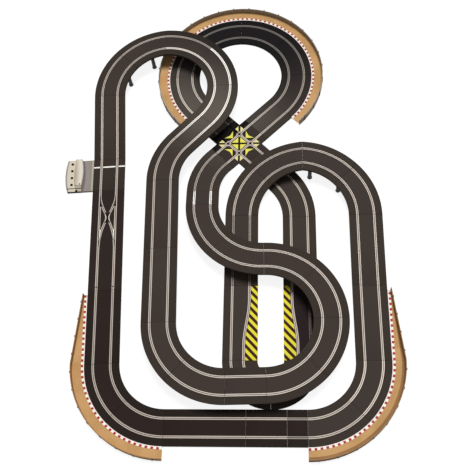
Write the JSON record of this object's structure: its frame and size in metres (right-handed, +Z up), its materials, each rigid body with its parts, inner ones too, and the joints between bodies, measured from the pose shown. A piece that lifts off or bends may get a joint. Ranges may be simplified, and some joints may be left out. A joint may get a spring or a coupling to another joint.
{
  "type": "slot car track set",
  "caption": "Two-lane slot car circuit with a raised loop, bridge, level crossing, lane changer, power base, piers, borders and barriers.",
  "frame": {"origin": "centre of the set's footprint, on the floor that the track stands on", "axes": "+X to the right and +Y to the far end of the set as pictured, along its longest side; +Z up"},
  "size_m": [1.6038, 2.3826, 0.0964],
  "materials": {
    "track_black": "fine moulded grain",
    "rail_steel": "worn bright",
    "slot_dark": "moulded",
    "hazard_yellow": "printed",
    "marking_white": "printed",
    "border_tan": "fine moulded grain",
    "kerb_red": "printed",
    "kerb_white": "printed",
    "barrier_grey": "moulded",
    "pier_grey": "moulded",
    "base_beige": "fine moulded grain",
    "base_grey": "fine moulded grain",
    "button_black": "smooth",
    "flipper_cream": "smooth",
    "led_red": "clear tinted"
  },
  "bodies": {
    "track": {"lane_changer": "track_black", "barrier_loop": "barrier_grey", "crossing": "track_black", "flyover_curve_5": "track_black", "bridge_rise": "track_black", "flyover_curve_8": "track_black", "flyover_curve_7": "track_black", "flyover_curve_2": "track_black", "flyover_curve_6": "track_black", "barrier_left": "barrier_grey", "barrier_right": "barrier_grey", "hairpin_entry": "track_black", "hairpin_exit": "track_black", "bridge_fall": "track_black", "right_corner": "track_black", "left_corner": "track_black", "flyover_curve_1": "track_black", "loop_curve_right": "track_black", "loop_curve_top": "track_black", "power_base_cover": "base_beige", "flyover_curve_3": "track_black", "descent_curve": "track_black", "side_swipe_entry": "track_black", "side_swipe_exit": "track_black", "flyover_curve_4": "track_black", "esses_exit": "track_black", "loop_lead_in": "track_black", "loop_lead_out": "track_black", "flyover_ramp": "track_black", "flyover_straight_2": "track_black", "flyover_straight_1": "track_black", "border_right_corner": "border_tan", "border_left_corner": "border_tan", "border_loop_1": "border_tan", "border_loop_2": "border_tan", "border_loop_3": "border_tan", "infield_straight_up": "track_black", "right_straight_lower": "track_black", "bottom_straight": "track_black", "left_straight": "track_black", "power_track": "track_black", "flyover_half_straight": "track_black", "infield_straight_down": "track_black", "right_straight_upper": "track_black", "bottom_quarter_straight": "track_black", "bottom_half_straight": "track_black", "pier_bridge_2": "pier_grey", "pier_flyover_1": "pier_grey", "pier_flyover_2": "pier_grey", "pier_bridge_1": "pier_grey", "power_led": "led_red", "border_right_lead": "border_tan", "border_left_lead": "border_tan", "power_base_deck": "base_grey"},
    "flipper_left": {"flipper_left": "flipper_cream"},
    "flipper_right": {"flipper_right": "flipper_cream"},
    "button_1": {"button_1": "button_black"},
    "button_2": {"button_2": "button_black"},
    "button_3": {"button_3": "button_black"},
    "button_4": {"button_4": "button_black"}
  },
  "joints": [
    {"name": "flipper_left_swing", "type": "hinge", "parent": "track", "child": "flipper_left", "pos_m": [-0.59805, -0.12544, 0.009], "axis": [0, 0, 1], "range_deg": [0, 3.6], "stiffness_Nm_per_rad": 0.002},
    {"name": "flipper_right_swing", "type": "hinge", "parent": "track", "child": "flipper_right", "pos_m": [-0.53382, -0.12196, 0.009], "axis": [0, 0, 1], "range_deg": [-3.6, 0], "stiffness_Nm_per_rad": 0.002},
    {"name": "button_1_press", "type": "slide", "parent": "track", "child": "button_1", "axis": [0, 0, -1], "range_m": [0, 0.0015], "stiffness_N_per_m": 300},
    {"name": "button_2_press", "type": "slide", "parent": "track", "child": "button_2", "axis": [0, 0, -1], "range_m": [0, 0.0015], "stiffness_N_per_m": 300},
    {"name": "button_3_press", "type": "slide", "parent": "track", "child": "button_3", "axis": [0, 0, -1], "range_m": [0, 0.0015], "stiffness_N_per_m": 300},
    {"name": "button_4_press", "type": "slide", "parent": "track", "child": "button_4", "axis": [0, 0, -1], "range_m": [0, 0.0015], "stiffness_N_per_m": 300}
  ]
}
